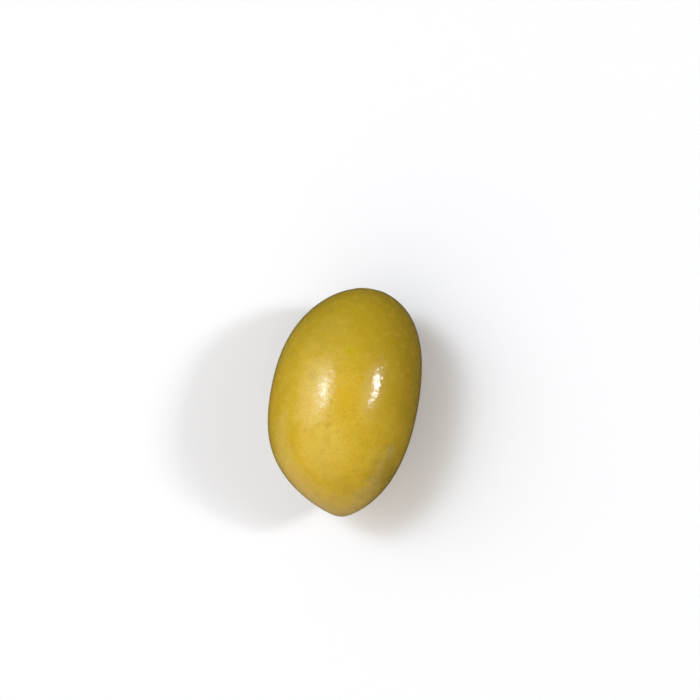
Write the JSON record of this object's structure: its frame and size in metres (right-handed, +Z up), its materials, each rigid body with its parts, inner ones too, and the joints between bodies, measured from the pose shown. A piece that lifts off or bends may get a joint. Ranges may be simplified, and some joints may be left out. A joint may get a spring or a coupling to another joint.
{
  "type": "green olive",
  "caption": "Whole green table olive with its stone in, a pointed tip and a shallow stem pit, lying on its side; fruit for food and table scenes.",
  "frame": {"origin": "Middle of the olive's footprint, on the surface it lies on: the centre of the bottom face of its bounding box.", "axes": "+Y along the fruit from the pointed tip to the stem end; +Z up; +X to the straighter flank, away from the side that bows out."},
  "size_m": [0.0226, 0.0348, 0.0212],
  "materials": {
    "olive_skin": "Wet, waxy olive skin: golden yellow-green, greener towards the stem end, faintly mottled, with fine darker pores and soft glossy highlights."
  },
  "bodies": {
    "root": {"olive": "olive_skin"}
  },
  "joints": []
}
